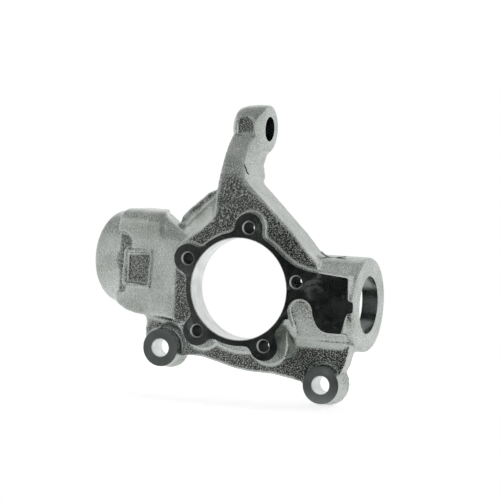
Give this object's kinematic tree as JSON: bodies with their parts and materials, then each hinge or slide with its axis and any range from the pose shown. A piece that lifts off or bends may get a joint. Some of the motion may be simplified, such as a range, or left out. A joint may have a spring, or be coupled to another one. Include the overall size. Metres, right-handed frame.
{
  "type": "steering knuckle",
  "caption": "Cast steering knuckle with a bolt-on wheel bearing seat, a ball joint boss, a strut clamp boss, a tie rod arm and caliper ears.",
  "frame": {"origin": "centre of the hub bore on the machined hub face", "axes": "+X from the hub towards the ball joint boss, -Y out of the machined face towards the wheel, +Z from the hub towards the tie rod arm"},
  "size_m": [0.2654, 0.1161, 0.2624],
  "materials": {
    "cast_iron": "sand cast skin, with milled faces and bored holes"
  },
  "bodies": {
    "root": {"knuckle": "cast_iron"}
  },
  "joints": []
}
